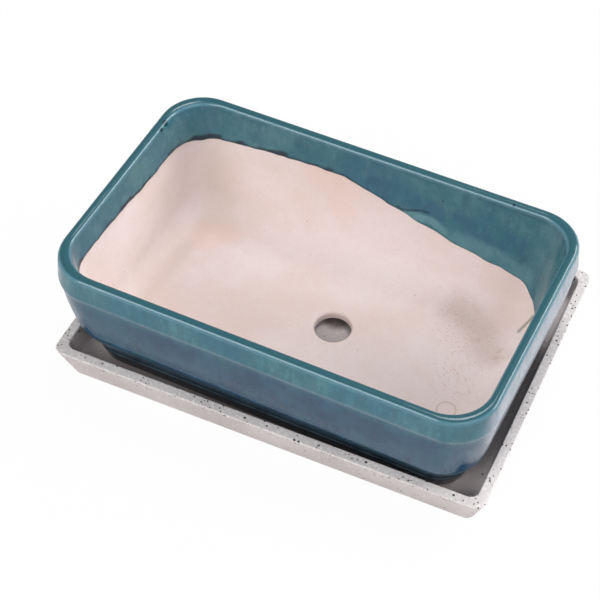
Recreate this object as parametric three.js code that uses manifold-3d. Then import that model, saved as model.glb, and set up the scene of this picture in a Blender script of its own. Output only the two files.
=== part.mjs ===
// A rectangular planter on its drip tray, in millimetres, +Z up.
// The pot is one fired clay body under a glaze coat, which stops in a wavy
// line on the inside and just above the foot. It stands loose in a cast tray.

import * as THREE from 'three';
import { mergeVertices } from 'three/addons/utils/BufferGeometryUtils.js';
import Module from 'manifold-3d';

const wasm = await Module();
wasm.setup();

// Pot, over the glaze
const potLength = 241.7;
const potWidth = 152.7;
const potHeight = 76.5;
const potCornerRadius = 24.4;
const cornerTightening = 0.45; // corner radius lost for each millimetre that a ring lies inside the collar

// Rim, a half round on top of the wall
const rimRadius = 3;
const rimSetBack = 0.9; // how far the rim stands inside the collar's lower edge

// Collar, the raised band under the rim
const collarHeight = 14.7; // from the top of the rim down to the collar's lower edge
const collarStep = 1.4; // how far the wall steps in under the collar
const collarRounding = 0.9;

// Wall, and the bevel that leads from it down to the foot
const wallBelly = 0.5; // how far the wall swells between the collar and the shoulder
const shoulderHeight = 28;
const shoulderInset = 5.4;
const shoulderRounding = 3.5;

// Foot ring
const footHeight = 10.6;
const footTopInset = 13.2;
const footBottomInset = 15.8;
const footLedge = 0.8; // the foot's top edge stands this far out of the bevel
const footRingWidth = 9;
const footRecess = 2.4; // hollow under the floor, inside the ring
const drainNotchWidth = 26;
const drainNotchHeight = 2;

// Inside of the pot
const floorTop = 7.3; // above the bottom of the foot
const cavityFillet = 16;
const cavityFootInset = 14.6; // the wall's foot, where the fillet to the floor starts

// Drain hole
const drainBore = 20.2;
const drainFlare = 1.7; // eased top edge of the bore
const drainPlace = [5.5, 7]; // from the middle of the pot

// Glaze coat
const glazeThickness = 0.7;
const glazeGap = 0.3; // space left between the glaze and the clay
const glazeAboveTable = 1.2; // bare clay under the glaze at the foot
const glazeRipple = 0.6;
const glazeRipplesRound = 23;

// How deep under the rim the glaze stops inside: share of the way round, depth.
// The way starts where the right wall meets the back right corner.
const glazeLine = [
  [0.025, 58], [0.045, 47], [0.08, 41], [0.12, 35], [0.18, 24], [0.21, 19.5],
  [0.27, 20.5], [0.31, 23], [0.335, 23.5], [0.37, 22], [0.43, 19], [0.49, 17],
  [0.62, 20], [0.72, 16], [0.82, 21], [0.9, 18], [0.97, 36],
];

// Tray, sized round the pot
const traySpareLength = 1.3; // tray length over the pot's
const traySpareWidth = 18.3;
const trayHeight = 21.5;
const trayFloor = 6;
const trayRimFace = 5.4;
const trayCornerRadius = 3.5;
const trayArris = 0.7;
const trayOutsideDraft = 6.4;
const trayInsideDraft = 2.6;
const trayInsideFillet = 3;

// How the pot was set down in the tray
const standingGap = 0.3; // between the foot and the tray's floor
const potTurn = THREE.MathUtils.degToRad(-1.52);
const potSlide = -1.15; // along the tray
const frontGap = 7.5; // from the foot to the bottom of the tray's front wall

// Fineness of the facets
const cornerSteps = 8;
const longSideSteps = 14;
const shortSideSteps = 8;
const rimSteps = 10;
const roundSteps = 5;
const edgeSteps = 3;
const glazeWallSteps = 3;
const boreSteps = 32;
const beyond = 2; // how far a cutting tool reaches past what it cuts

const glazeProud = glazeThickness + glazeGap;

// Stations round a rounded rectangle, anticlockwise from the right wall's back end.
// A station on an arc has one end; one on a straight side lies between two.
function stationsRound(longSteps, shortSteps) {
  const corners = [[1, 1], [-1, 1], [-1, -1], [1, -1]];
  const arcPoint = (corner, step) => {
    const [sideX, sideY] = corners[corner % corners.length];
    const angle = (corner + step / cornerSteps) * Math.PI / 2;
    return { sideX, sideY, angle };
  };
  const stations = [];
  corners.forEach((_, corner) => {
    for (let step = 0; step <= cornerSteps; step += 1) {
      const end = arcPoint(corner, step);
      stations.push({ from: end, to: end, share: 0 });
    }
    const steps = corner % 2 === 0 ? longSteps : shortSteps;
    for (let step = 1; step < steps; step += 1) {
      const from = arcPoint(corner, cornerSteps);
      const to = arcPoint(corner + 1, 0);
      stations.push({ from, to, share: step / steps });
    }
  });
  return stations;
}

// The point of a ring at a station, for a ring that lies inset within the plan.
function ringPoint(plan, station, inset) {
  const radius = plan.radius - plan.tightening * inset;
  const place = ({ sideX, sideY, angle }) => new THREE.Vector2(
    sideX * (plan.length / 2 - inset - radius) + radius * Math.cos(angle),
    sideY * (plan.width / 2 - inset - radius) + radius * Math.sin(angle),
  );
  return place(station.from).lerp(place(station.to), station.share);
}

// A surface through rings, one profile point to a ring. profileAt gives the
// profile of a station as Vector2(inset, height), with as many points at each.
function sweepRound(plan, stations, profileAt, isLoop) {
  const profiles = stations.map(profileAt);
  const rings = profiles[0].length;
  const count = stations.length;
  const positions = [];
  for (let ring = 0; ring < rings; ring += 1) {
    stations.forEach((station, index) => {
      const { x: inset, y: height } = profiles[index][ring];
      const point = ringPoint(plan, station, inset);
      positions.push(point.x, point.y, height);
    });
  }
  const triangles = [];
  const bands = isLoop ? rings : rings - 1;
  for (let band = 0; band < bands; band += 1) {
    for (let index = 0; index < count; index += 1) {
      const next = (index + 1) % count;
      const low = band * count;
      const high = ((band + 1) % rings) * count;
      triangles.push(low + index, low + next, high + next);
      triangles.push(low + index, high + next, high + index);
    }
  }
  if (!isLoop) {
    const underside = positions.length / 3;
    positions.push(0, 0, profiles[0][0].y, 0, 0, profiles[0][rings - 1].y);
    const last = (rings - 1) * count;
    for (let index = 0; index < count; index += 1) {
      const next = (index + 1) % count;
      triangles.push(underside, next, index);
      triangles.push(underside + 1, last + index, last + next);
    }
  }
  const geometry = new THREE.BufferGeometry();
  geometry.setAttribute('position', new THREE.Float32BufferAttribute(positions, 3));
  geometry.setIndex(triangles);
  return geometry;
}

// Points of an arc in a profile, angles in quarter turns.
function profileArc(centreInset, centreHeight, radius, fromQuarter, toQuarter, steps) {
  const points = [];
  for (let step = 0; step <= steps; step += 1) {
    const angle = (fromQuarter + (toQuarter - fromQuarter) * step / steps) * Math.PI / 2;
    points.push(new THREE.Vector2(
      centreInset - radius * Math.cos(angle),
      centreHeight + radius * Math.sin(angle),
    ));
  }
  return points;
}

// A corner of a profile, rounded over a length of both of its sides.
function roundedCorner(before, corner, after, length, steps) {
  const towards = (end) => (
    end.clone().sub(corner).setLength(length).add(corner)
  );
  return new THREE.QuadraticBezierCurve(towards(before), corner, towards(after)).getPoints(steps);
}

// A stretch of a profile that swells outwards between its ends, which are left out.
function bellied(start, end, swell, steps) {
  const middle = start.clone().lerp(end, 0.5);
  const control = new THREE.Vector2(middle.x - 2 * swell, middle.y);
  return new THREE.QuadraticBezierCurve(start, control, end).getPoints(steps).slice(1, -1);
}

// Moves each point of a profile along its own normal, inwards into the wall.
function offsetProfile(points, distance) {
  return points.map((point, index) => {
    const before = points[Math.max(index - 1, 0)];
    const after = points[Math.min(index + 1, points.length - 1)];
    const along = after.clone().sub(before).normalize();
    return new THREE.Vector2(point.x + along.y * distance, point.y - along.x * distance);
  });
}

// The glazed outside from a height on the foot up and over the rim.
function outsideProfile(startHeight) {
  const footTaper = (footBottomInset - footTopInset) / footHeight;
  const footLip = new THREE.Vector2(footTopInset + footLedge, footHeight);
  const shoulder = new THREE.Vector2(shoulderInset, shoulderHeight);
  const collarEdge = new THREE.Vector2(0, potHeight - collarHeight);
  const underCollar = new THREE.Vector2(collarStep, collarEdge.y - collarStep);
  const rimFoot = new THREE.Vector2(rimSetBack, potHeight - rimRadius);
  return [
    new THREE.Vector2(footBottomInset - footTaper * startHeight, startHeight),
    new THREE.Vector2(footTopInset, footHeight - footLedge),
    footLip,
    ...roundedCorner(footLip, shoulder, underCollar, shoulderRounding, roundSteps),
    ...bellied(shoulder, underCollar, wallBelly, edgeSteps),
    underCollar,
    ...roundedCorner(underCollar, collarEdge, rimFoot, collarRounding, edgeSteps),
    ...profileArc(rimSetBack + rimRadius, rimFoot.y, rimRadius, 0, 2, rimSteps),
  ];
}

// The bare clay inside at a height: the leaning wall, then the fillet to the floor.
const wallTop = new THREE.Vector2(rimSetBack + 2 * rimRadius - glazeProud, potHeight - rimRadius);
const wallFoot = new THREE.Vector2(cavityFootInset, floorTop + cavityFillet);

function insideInset(height) {
  if (height >= wallFoot.y) {
    const share = (wallTop.y - height) / (wallTop.y - wallFoot.y);
    return THREE.MathUtils.lerp(wallTop.x, wallFoot.x, share);
  }
  const drop = wallFoot.y - height;
  return wallFoot.x + cavityFillet - Math.sqrt(cavityFillet ** 2 - drop ** 2);
}

function potPlan() {
  return {
    length: potLength,
    width: potWidth,
    radius: potCornerRadius,
    tightening: cornerTightening,
  };
}

// Booleans work on solids, and meshes come back from them.
function toSolid(geometry) {
  const bare = geometry.clone();
  bare.deleteAttribute('normal');
  bare.deleteAttribute('uv');
  const merged = mergeVertices(bare);
  return new wasm.Manifold(new wasm.Mesh({
    numProp: 3,
    vertProperties: new Float32Array(merged.attributes.position.array),
    triVerts: new Uint32Array(merged.index.array),
  }));
}

function toGeometry(solid) {
  const mesh = solid.getMesh();
  const geometry = new THREE.BufferGeometry();
  geometry.setAttribute('position', new THREE.BufferAttribute(mesh.vertProperties, 3));
  geometry.setIndex(new THREE.BufferAttribute(mesh.triVerts, 1));
  geometry.computeVertexNormals();
  return geometry;
}

// Tool for the drain hole: a bore whose top edge flares out to the floor.
function drainTool() {
  const radius = drainBore / 2;
  const flare = [];
  for (let step = 0; step <= roundSteps; step += 1) {
    const angle = step / roundSteps * Math.PI / 2;
    flare.push(new THREE.Vector2(
      radius + drainFlare * (1 - Math.cos(angle)),
      floorTop - drainFlare * (1 - Math.sin(angle)),
    ));
  }
  const outline = [
    new THREE.Vector2(0, -beyond),
    new THREE.Vector2(radius, -beyond),
    ...flare,
    new THREE.Vector2(radius + drainFlare, floorTop + beyond),
    new THREE.Vector2(0, floorTop + beyond),
  ];
  const geometry = new THREE.LatheGeometry(outline, boreSteps);
  geometry.rotateX(Math.PI / 2);
  geometry.translate(drainPlace[0], drainPlace[1], 0);
  return toSolid(geometry);
}

// Tool for the low notches that let water out from under the floor, front and back.
function notchTool(clearance) {
  const halfWidth = drainNotchWidth / 2 + clearance;
  const top = drainNotchHeight + clearance;
  const slot = new THREE.Shape();
  slot.moveTo(-halfWidth - top, -beyond);
  slot.lineTo(halfWidth + top, -beyond);
  slot.lineTo(halfWidth + top, 0);
  slot.quadraticCurveTo(halfWidth, 0, halfWidth - top, top);
  slot.lineTo(-halfWidth + top, top);
  slot.quadraticCurveTo(-halfWidth, 0, -halfWidth - top, 0);
  slot.closePath();
  const geometry = new THREE.ExtrudeGeometry(slot, {
    depth: potWidth,
    bevelEnabled: false,
    curveSegments: roundSteps,
  });
  geometry.rotateX(Math.PI / 2);
  geometry.translate(0, potWidth / 2, 0);
  return toSolid(geometry);
}

// The clay body, from the hollow under the floor round to the floor inside.
function clayBody() {
  const footInset = footBottomInset + glazeProud;
  const ringInset = footInset + footRingWidth;
  const [, ...aboveFoot] = offsetProfile(outsideProfile(0), glazeProud);
  const profile = [
    new THREE.Vector2(ringInset + footRecess, footRecess),
    new THREE.Vector2(ringInset, 0),
    new THREE.Vector2(footInset, 0),
    ...aboveFoot,
    ...profileArc(wallFoot.x + cavityFillet, wallFoot.y, cavityFillet, 0, -1, rimSteps),
  ];
  const stations = stationsRound(1, 1);
  const body = sweepRound(potPlan(), stations, () => profile, false);
  const cut = toSolid(body).subtract(drainTool()).subtract(notchTool(0));
  return toGeometry(cut);
}

// Depth of the glaze line under the rim, at a share of the way round: a smooth
// curve through the given places, which are repeated a turn earlier and later.
const glazeTurns = [-1, 0, 1].flatMap((turn) => (
  glazeLine.map(([place, depth]) => [place + turn, depth])
));
const glazeCurve = new THREE.CubicInterpolant(
  glazeTurns.map(([place]) => place),
  glazeTurns.map(([, depth]) => depth),
  1,
);

function glazeDepth(share) {
  const ripple = glazeRipple * Math.sin(share * glazeRipplesRound * 2 * Math.PI);
  return glazeCurve.evaluate(share)[0] + ripple;
}

// The glaze coat: a thin shell that goes up the outside, over the rim and down inside.
function glazeCoat() {
  const plan = potPlan();
  const stations = stationsRound(longSideSteps, shortSideSteps);
  const around = stations.map((station) => ringPoint(plan, station, wallTop.x));
  const wayTo = [0];
  around.forEach((point, index) => {
    const next = around[(index + 1) % around.length];
    wayTo.push(wayTo[index] + point.distanceTo(next));
  });
  const face = outsideProfile(glazeAboveTable);
  const back = offsetProfile(face, glazeThickness);
  const insideFace = (height, proud) => (
    new THREE.Vector2(insideInset(height) + proud, height)
  );
  const profileAt = (_, index) => {
    const depth = glazeDepth(wayTo[index] / wayTo.at(-1));
    const down = [];
    const up = [];
    for (let step = 1; step <= glazeWallSteps; step += 1) {
      const share = step / glazeWallSteps;
      const height = THREE.MathUtils.lerp(wallTop.y, potHeight - depth, share);
      down.push(insideFace(height, glazeProud));
      up.unshift(insideFace(height, glazeGap));
    }
    return [...face, ...down, ...up, ...back.toReversed()];
  };
  const coat = sweepRound(plan, stations, profileAt, true);
  return toGeometry(toSolid(coat).subtract(notchTool(glazeGap)));
}

// The tray: a shallow box with leaning walls and a flat face on top of them.
const trayLength = potLength + traySpareLength;
const trayWidth = potWidth + traySpareWidth;
const trayWallFoot = trayRimFace + trayInsideDraft;

function trayBody() {
  const plan = { length: trayLength, width: trayWidth, radius: trayCornerRadius, tightening: 0 };
  const leanBy = (height) => trayOutsideDraft * (1 - height / trayHeight);
  const insideTop = new THREE.Vector2(trayRimFace, trayHeight - trayArris);
  const floorCorner = new THREE.Vector2(trayWallFoot, trayFloor);
  const floorMiddle = new THREE.Vector2(trayWidth / 2, trayFloor);
  const profile = [
    new THREE.Vector2(leanBy(0) + trayArris, 0),
    new THREE.Vector2(leanBy(trayArris), trayArris),
    new THREE.Vector2(leanBy(trayHeight - trayArris), trayHeight - trayArris),
    new THREE.Vector2(trayArris, trayHeight),
    new THREE.Vector2(trayRimFace - trayArris, trayHeight),
    insideTop,
    ...roundedCorner(insideTop, floorCorner, floorMiddle, trayInsideFillet, roundSteps),
  ];
  const geometry = sweepRound(plan, stationsRound(1, 1), () => profile, false);
  return toGeometry(toSolid(geometry));
}

function makeMesh(name, geometry, colour, roughness) {
  const material = new THREE.MeshStandardMaterial({ color: colour, roughness, metalness: 0 });
  const mesh = new THREE.Mesh(geometry, material);
  mesh.name = name;
  return mesh;
}

const tray = makeMesh('drip_tray', trayBody(), 0xcabfbe, 0.85);
const clay = makeMesh('clay_pot', clayBody(), 0xe4d4ce, 0.9);
const glaze = makeMesh('glaze_coat', glazeCoat(), 0x3c7082, 0.2);

// The pot stands in the tray where it was set down, a little turned and near the front.
const pot = new THREE.Group();
pot.add(clay, glaze);
pot.rotation.z = potTurn;
pot.position.set(
  potSlide,
  frontGap + trayWallFoot - footBottomInset - traySpareWidth / 2,
  trayFloor + standingGap,
);

// The whole stands with the middle of its box over the origin.
const planter = new THREE.Group();
planter.add(tray, pot);
const middle = new THREE.Box3().setFromObject(planter, true).getCenter(new THREE.Vector3());
planter.position.set(-middle.x, -middle.y, 0);

export default planter;
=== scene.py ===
# The looks of a rectangular glazed planter that stands loose in a cast drip tray.
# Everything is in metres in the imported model's frame. The pot is modelled square
# to the axes first, and then turned and moved to where it stands in the tray.

import math

import bmesh
import bpy
from mathutils import Matrix, Vector, noise


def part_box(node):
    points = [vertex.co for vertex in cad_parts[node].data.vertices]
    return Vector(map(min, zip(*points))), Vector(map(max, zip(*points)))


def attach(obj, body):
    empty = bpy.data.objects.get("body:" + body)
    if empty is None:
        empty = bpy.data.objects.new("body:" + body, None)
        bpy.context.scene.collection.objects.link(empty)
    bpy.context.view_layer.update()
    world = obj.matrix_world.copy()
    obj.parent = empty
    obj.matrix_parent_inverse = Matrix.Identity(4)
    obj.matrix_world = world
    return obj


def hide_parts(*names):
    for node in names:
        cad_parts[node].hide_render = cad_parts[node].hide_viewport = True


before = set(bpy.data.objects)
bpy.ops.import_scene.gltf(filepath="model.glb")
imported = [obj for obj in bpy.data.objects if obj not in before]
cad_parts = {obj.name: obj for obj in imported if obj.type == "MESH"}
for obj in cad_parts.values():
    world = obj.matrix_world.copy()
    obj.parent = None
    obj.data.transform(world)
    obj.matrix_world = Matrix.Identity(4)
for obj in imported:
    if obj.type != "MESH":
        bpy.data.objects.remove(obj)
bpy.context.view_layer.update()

MM = 0.001

# Sizes of the pot over its glaze. Insets are measured in from the collar's lower
# edge, and heights up from the bottom of the foot. Corners tighten by this share of
# an inset.
POT_LENGTH = 241.7 * MM
POT_WIDTH = 152.7 * MM
POT_CORNER = 24.4 * MM
POT_TIGHTENING = 0.45
POT_HEIGHT = 76.5 * MM
POT_TURN = math.radians(-1.52)
RIM_RADIUS = 3.0 * MM
RIM_SET_BACK = 0.9 * MM
COLLAR_EDGE = 61.8 * MM
COLLAR_STEP = 0.8 * MM
COLLAR_ROUNDING = 0.9 * MM
STEP_ROUNDING = 0.5 * MM
WALL_BELLY = 0.5 * MM
SHOULDER_HEIGHT = 28.0 * MM
SHOULDER_INSET = 5.4 * MM
SHOULDER_ROUNDING = 3.5 * MM
FOOT_HEIGHT = 10.6 * MM
FOOT_TOP_INSET = 13.2 * MM
FOOT_BOTTOM_INSET = 15.8 * MM
FOOT_LEDGE = 0.8 * MM
LEDGE_ROUNDING = 0.4 * MM
FOOT_RING_WIDTH = 9.0 * MM
FOOT_RECESS = 2.4 * MM
FLOOR_TOP = 7.3 * MM
CAVITY_FOOT_INSET = 14.6 * MM
CAVITY_FILLET = 16.0 * MM
DRAIN_RADIUS = 10.1 * MM
DRAIN_FLARE = 1.7 * MM
BORE_EASING = 0.3 * MM
DRAIN_PLACE = Vector((5.5, 7.0, 0.0)) * MM
NOTCH_WIDTH = 26.0 * MM
NOTCH_HEIGHT = 2.0 * MM

# The glaze coat stands this far out of the clay, and its edge is sunk into it.
GLAZE_PROUD = 1.0 * MM
GLAZE_SUNK = 0.3 * MM
GLAZE_START = 1.2 * MM

# Where the glaze stops inside: share of the way round, depth under the rim in mm.
# The way starts where the right wall meets the back right corner, and goes left
# along the back wall, then forward along the left one.
GLAZE_LINE = [
    (0.012, 58), (0.028, 53), (0.046, 46.2), (0.08, 41), (0.12, 35), (0.18, 24), (0.21, 19.5),
    (0.27, 20.5), (0.31, 23), (0.335, 23.5), (0.37, 22), (0.43, 19), (0.49, 17),
    (0.62, 20), (0.72, 16), (0.82, 21), (0.9, 18), (0.96, 33), (0.99, 51),
]

# How far the glaze's edge wanders, in mm, and how often.
SCALLOPS = [(1.0, 11), (0.7, 27), (0.3, 60)]

# Rings of the glaze on the wall inside: share of the way down to its edge, height
# above that, and how far it stands out of the clay, in mm.
GLAZE_INSIDE = [
    (0.1, 0, 1.0), (0.25, 0, 0.95), (0.4, 0, 0.9), (0.56, 0, 0.84), (0.72, 0, 0.8),
    (1, 2.6, 0.84), (1, 1.5, 0.9), (1, 0.8, 0.84), (1, 0.3, 0.55), (1, 0, 0.1),
    (1, 0.4, -0.3), (0.7, 0, -0.3), (0.35, 0, -0.3),
]

# The glaze that isn't on the wall inside counts as this far above its edge, in mm.
FAR_ABOVE = 60

# Rings that carry the clay's flat stretches, in mm: insets over the floor, radii round
# the drain hole, heights down its bore, and then a radius and insets in the hollow.
FLOOR_RINGS = (32, 36, 42, 50)
HOLE_RINGS = (17, 14, 12.4)
BORE_RINGS = (5, 4, 3, 2.6)
HOLLOW_HOLE_RING = 15
HOLLOW_RINGS = (50, 36, 30)

# The tray's own sizes, and the insets in mm of the rings on its two flat faces.
TRAY_HEIGHT = 21.5 * MM
TRAY_FLOOR = 6.0 * MM
TRAY_RIM_FACE = 5.4 * MM
TRAY_CORNER = 5.0 * MM
TRAY_OUTSIDE_DRAFT = 6.4 * MM
TRAY_INSIDE_DRAFT = 2.6 * MM
TRAY_INSIDE_FILLET = 3.0 * MM
TRAY_ARRIS = 0.7 * MM
TRAY_UNDERSIDE_RINGS = (70, 40, 12)
TRAY_FLOOR_RINGS = (14, 22, 40, 70)

# Fineness of the lofts: steps round a corner, and cuts in a long and a short side.
# Points nearer than the weld distance become one, and edges that turn by less than the
# smooth angle are shaded smooth.
CORNER_STEPS = 14
POT_CUTS = (63, 33)
TRAY_CUTS = (110, 76)
WELD_DISTANCE = 0.001 * MM
SMOOTH_ANGLE = math.radians(60)

# Marks in the glaze. A place is in mm over the middle of the pot's foot. Pits have a
# radius too, and the rest are lines: a fold, stretches where the glaze is thin or a
# little pale, a bluer stretch, and a scar.
GLAZE_PITS = [
    (-114.6, 45.0, 75.3, 1.7), (-114.3, 40.0, 74.6, 1.1), (78.0, 70.9, 75.9, 0.6),
    (105.6, 64.0, 74.0, 0.6), (-98.0, 69.0, 66.0, 1.2), (-60.0, 68.5, 60.0, 0.4),
    (40.0, 67.5, 64.0, 0.4),
]
GLAZE_FOLD = [
    (15.3, 65.6, 50.7), (18.4, 65.5, 49.9), (22.4, 65.7, 50.7), (29.0, 66.1, 53.4), (33.0, 66.2, 53.5),
]
GLAZE_THIN = [(20.0, 65.6, 47.0), (28.0, 65.9, 48.5), (36.0, 65.9, 48.5), (43.0, 65.6, 45.5)]
GLAZE_PALE = [(46.0, 65.4, 46.0), (60.0, 65.0, 42.5), (75.0, 64.5, 39.5), (92.0, 63.5, 36.0)]
GLAZE_BLUE = [(2, 66.8, 59), (20, 66.6, 58), (45, 66.2, 53.5), (65, 66.0, 53.0), (85, 65.8, 52.0)]
GLAZE_SCAR = [(-114.4, 44.0, 73.0), (-113.9, 40.5, 68.0), (-113.3, 38.0, 63.0)]

# Marks on the clay inside, in the same way: lines that a grey stain, reddish dust, the
# painted shade in the corner and at the wall's foot and a splash of glaze follow, rosy stains
# with their radius, and a thin brown ring.
GREY_STAIN = [(60.6, 47.0, 7.8), (69.0, 42.5, 7.3), (79.0, 37.5, 7.3), (88.0, 27.7, 7.3)]
RED_DUST = [(62.0, 36.0, 7.3), (74.0, 18.0, 7.3), (82.0, 0.0, 7.3)]
FOLD_SHADE = [(-92.0, 40.1, 7.6), (-93.5, 14.9, 8.0), (-95.5, -19.8, 8.6)]
CORNER_SHADE = [(-94.0, 67.0, 51.0), (-93.0, 64.0, 33.0), (-90.0, 58.0, 14.2), (-86.0, 48.0, 8.5)]
GLAZE_SPLASH = [(97.1, 46.2, 9.8), (98.3, 48.6, 11.1), (99.6, 50.7, 12.9), (101.6, 53.3, 17.0)]
ROSY_STAINS = [
    (-87, 37, 7.3, 5), (-80, 42, 7.3, 4), (-14.9, 66.5, 50.8, 5), (-31.7, 67.4, 55.7, 4),
    (-15, 64, 36, 3),
]
RING_MARK = (82.3, -17.6, 7.3)
RING_RADIUS = 5.2 * MM
RING_LINE = 0.9 * MM

# The middle of the painted shadow on the tray's floor, seen through the drain hole.
HOLE_SHADOW_PLACE = (2.5, 19.5, 0)

# Colours of the glaze, as red, green and blue: its mottling inside and on the collar,
# the rim with a painted highlight on its edges and painted shade on its top, the body from
# its middle down to the foot with painted shade low down, and its edges and marks, with
# painted highlights on its ridges and a painted reflection on the right wall.
TEAL = (0.030, 0.142, 0.182)
LIGHT_TEAL = (0.060, 0.180, 0.212)
BLUE_TEAL = (0.024, 0.122, 0.185)
DEEP_TEAL = (0.016, 0.090, 0.150)
PALE_TEAL = (0.080, 0.205, 0.245)
DARK_TEAL = (0.016, 0.080, 0.115)
FRECKLE = (0.012, 0.078, 0.112)
# Painted highlight over the rim's edges, where the glaze also thins paler.
RIM_HIGHLIGHT = (0.130, 0.270, 0.335)
# Painted shade on the rim's top, where it reflects the dark ceiling.
RIM_TOP_SHADE = (0.009, 0.074, 0.094)
BODY_NAVY = (0.007, 0.048, 0.100)
BODY_BLUE = (0.015, 0.077, 0.136)
BODY_GREEN = (0.010, 0.078, 0.110)
BODY_INK = (0.006, 0.034, 0.085)
# Painted shade low on the body and on the foot, which lie in the tray's shade.
BODY_LOW_SHADE = (0.010, 0.044, 0.070)
FOOT_SHADE = (0.016, 0.025, 0.036)
# Painted highlight along the collar's lower edge, where the glaze also thins paler.
COLLAR_HIGHLIGHT = (0.140, 0.210, 0.255)
# Painted highlight along the ledge on the foot.
LEDGE_HIGHLIGHT = (0.080, 0.125, 0.150)
# Painted reflection of the bright floor on the outside of the right wall.
PAINTED_REFLECTION = (0.420, 0.420, 0.500)
POOLED = (0.004, 0.020, 0.036)
BRIGHT_BLUE = (0.014, 0.085, 0.160)
THIN_GLAZE = (0.135, 0.300, 0.330)
PALE_FLECK = (0.165, 0.310, 0.330)
DARK_PIT = (0.005, 0.030, 0.045)

# Colours of the clay, its marks and its painted shade.
WARM_CLAY = (0.755, 0.622, 0.582)
PALE_CLAY = (0.790, 0.692, 0.676)
BUFF_CLAY = (0.74, 0.600, 0.545)
SAND = (0.58, 0.48, 0.42)
GREY_BROWN = (0.46, 0.335, 0.280)
# Painted shade along the fold at the wall's foot.
FOLD_SHADE_COLOUR = (0.66, 0.545, 0.500)
# Painted shade in the back left corner.
CORNER_SHADE_COLOUR = (0.68, 0.590, 0.520)
ROSE = (0.78, 0.580, 0.500)
RING_BROWN = (0.52, 0.42, 0.34)
SPLASH_GREY = (0.27, 0.29, 0.25)
BRICK_RED = (0.56, 0.30, 0.27)
IRON_SPOT = (0.13, 0.11, 0.10)

# Colours of the cast stone, its painted light and its painted shade.
STONE = (0.560, 0.502, 0.498)
PALE_STONE = (0.655, 0.596, 0.592)
WHITE_GRAIN = (0.82, 0.78, 0.77)
# Painted light on the tray's top edges, with painted glints there.
LIT_TOP_EDGE = (0.90, 0.87, 0.86)
# Painted shade on the tray's floor round the drain hole, under the pot.
SHADED_STONE = (0.36, 0.325, 0.32)
# Painted shadow on the tray's floor, seen through the drain hole.
HOLE_SHADOW_STONE = (0.10, 0.085, 0.085)
BLACK_GRIT = (0.030, 0.027, 0.027)

# Where the camera stands, from a camera fitted to the photograph. The lens and the
# sensor are in mm.
CAMERA_AIM = Vector((-17.378, 5.983, 17.060)) * MM
CAMERA_AZIMUTH = math.radians(24.80)
CAMERA_ELEVATION = math.radians(49.37)
CAMERA_ROLL = math.radians(-0.05)
CAMERA_DISTANCE = 923.35 * MM
CAMERA_CLIP = 50.0 * MM
CAMERA_LENS = 101.71
CAMERA_SENSOR = 36

# How bright the studio's walls and its ceiling are, where white is 1. The walls end and
# the ceiling starts at these heights, where 0 is level and 1 is straight up.
WALL_LIGHT = 0.35
CEILING_LIGHT = 0.36
WALL_END = 0.55
CEILING_START = 0.85

# The floor is wide, and lies a hair under the tray. This share of what the camera sees
# of it is plain white, and the rest is a pale grey that is lit and shaded.
FLOOR_SIZE = 20
FLOOR_DROP = 0.1 * MM
FLOOR_WHITE = 0.96
FLOOR_GREY = (0.80, 0.80, 0.80)
WHITE = (1, 1, 1)

# Each soft box's azimuth and elevation in degrees, the width and height of its face
# in metres, and how bright that is, where white is 1.
LAMP_DISTANCE = 1.5
LAMPS = {
    "front_soft_box": (-22, 35, 0.95, 0.60, 6.5),
    "back_soft_box": (128, 27, 1.2, 0.40, 9.5),
    "fill_soft_box": (52, 40, 0.9, 0.50, 2.2),
    "key_soft_box": (168, 72, 0.44, 0.66, 9.2),
}

# The pot's middle, and the height of its foot, as it stands in the tray.
glaze_low, glaze_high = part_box("glaze_coat")
clay_low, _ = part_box("clay_pot")
tray_low, tray_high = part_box("drip_tray")
pot_middle = (glaze_low + glaze_high) / 2
POT_PLACE = Matrix.Translation((pot_middle.x, pot_middle.y, clay_low.z)) @ Matrix.Rotation(POT_TURN, 4, "Z")


# Profiles: points of (inset, height), as Vectors

def rounded_corner(before, corner, after, reach, steps):
    """A corner of a profile, rounded over a length of both of its sides."""
    start = corner + (before - corner).normalized() * reach
    end = corner + (after - corner).normalized() * reach
    points = []
    for step in range(steps + 1):
        share = step / steps
        points.append(start * (1 - share) ** 2 + corner * 2 * share * (1 - share) + end * share ** 2)
    return points


def bellied(start, end, swell, steps):
    """A stretch between two points, which are left out, that swells outwards."""
    points = []
    for step in range(1, steps):
        share = step / steps
        point = start.lerp(end, share)
        point.x -= 4 * swell * share * (1 - share)
        points.append(point)
    return points


def profile_arc(centre, radius, first_angle, last_angle, steps):
    """An arc of a profile. Angle 0 points outwards, and 90 degrees up."""
    points = []
    for step in range(steps + 1):
        angle = math.radians(first_angle + (last_angle - first_angle) * step / steps)
        points.append(centre + radius * Vector((-math.cos(angle), math.sin(angle))))
    return points


def offset_profile(points, distance):
    """The profile moved along its own normals, into the wall."""
    moved = []
    for index, point in enumerate(points):
        before = points[max(index - 1, 0)]
        after = points[min(index + 1, len(points) - 1)]
        along = (after - before).normalized()
        moved.append(point + distance * Vector((along.y, -along.x)))
    return moved


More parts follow.
